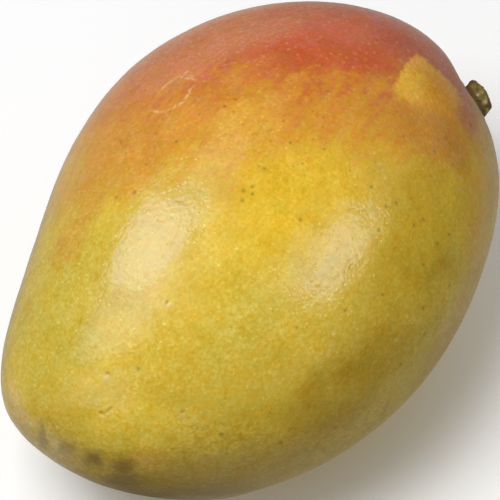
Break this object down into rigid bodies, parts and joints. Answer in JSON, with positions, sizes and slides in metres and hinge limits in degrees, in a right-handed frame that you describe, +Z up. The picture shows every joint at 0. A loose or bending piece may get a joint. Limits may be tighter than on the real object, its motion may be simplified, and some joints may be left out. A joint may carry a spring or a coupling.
{
  "type": "mango",
  "caption": "Whole ripe mango lying on one cheek: plump S-curved oval with a blunt beaked tip, waxy blushed skin and a short woody stalk stub in a dimple.",
  "frame": {"origin": "on the resting surface, under the middle of the box around the fruit and its stalk stub", "axes": "+X from the tip to the stalk end, +Y to the blushed side, +Z up through the two cheeks"},
  "size_m": [0.1224, 0.0886, 0.0765],
  "materials": {
    "skin": "waxy satin fruit skin, yellow to olive green with an orange and red blush, fine pale dots",
    "stalk": "dry rough olive-brown bark"
  },
  "bodies": {
    "root": {"fruit": "skin", "stem_stub": "stalk"}
  },
  "joints": []
}
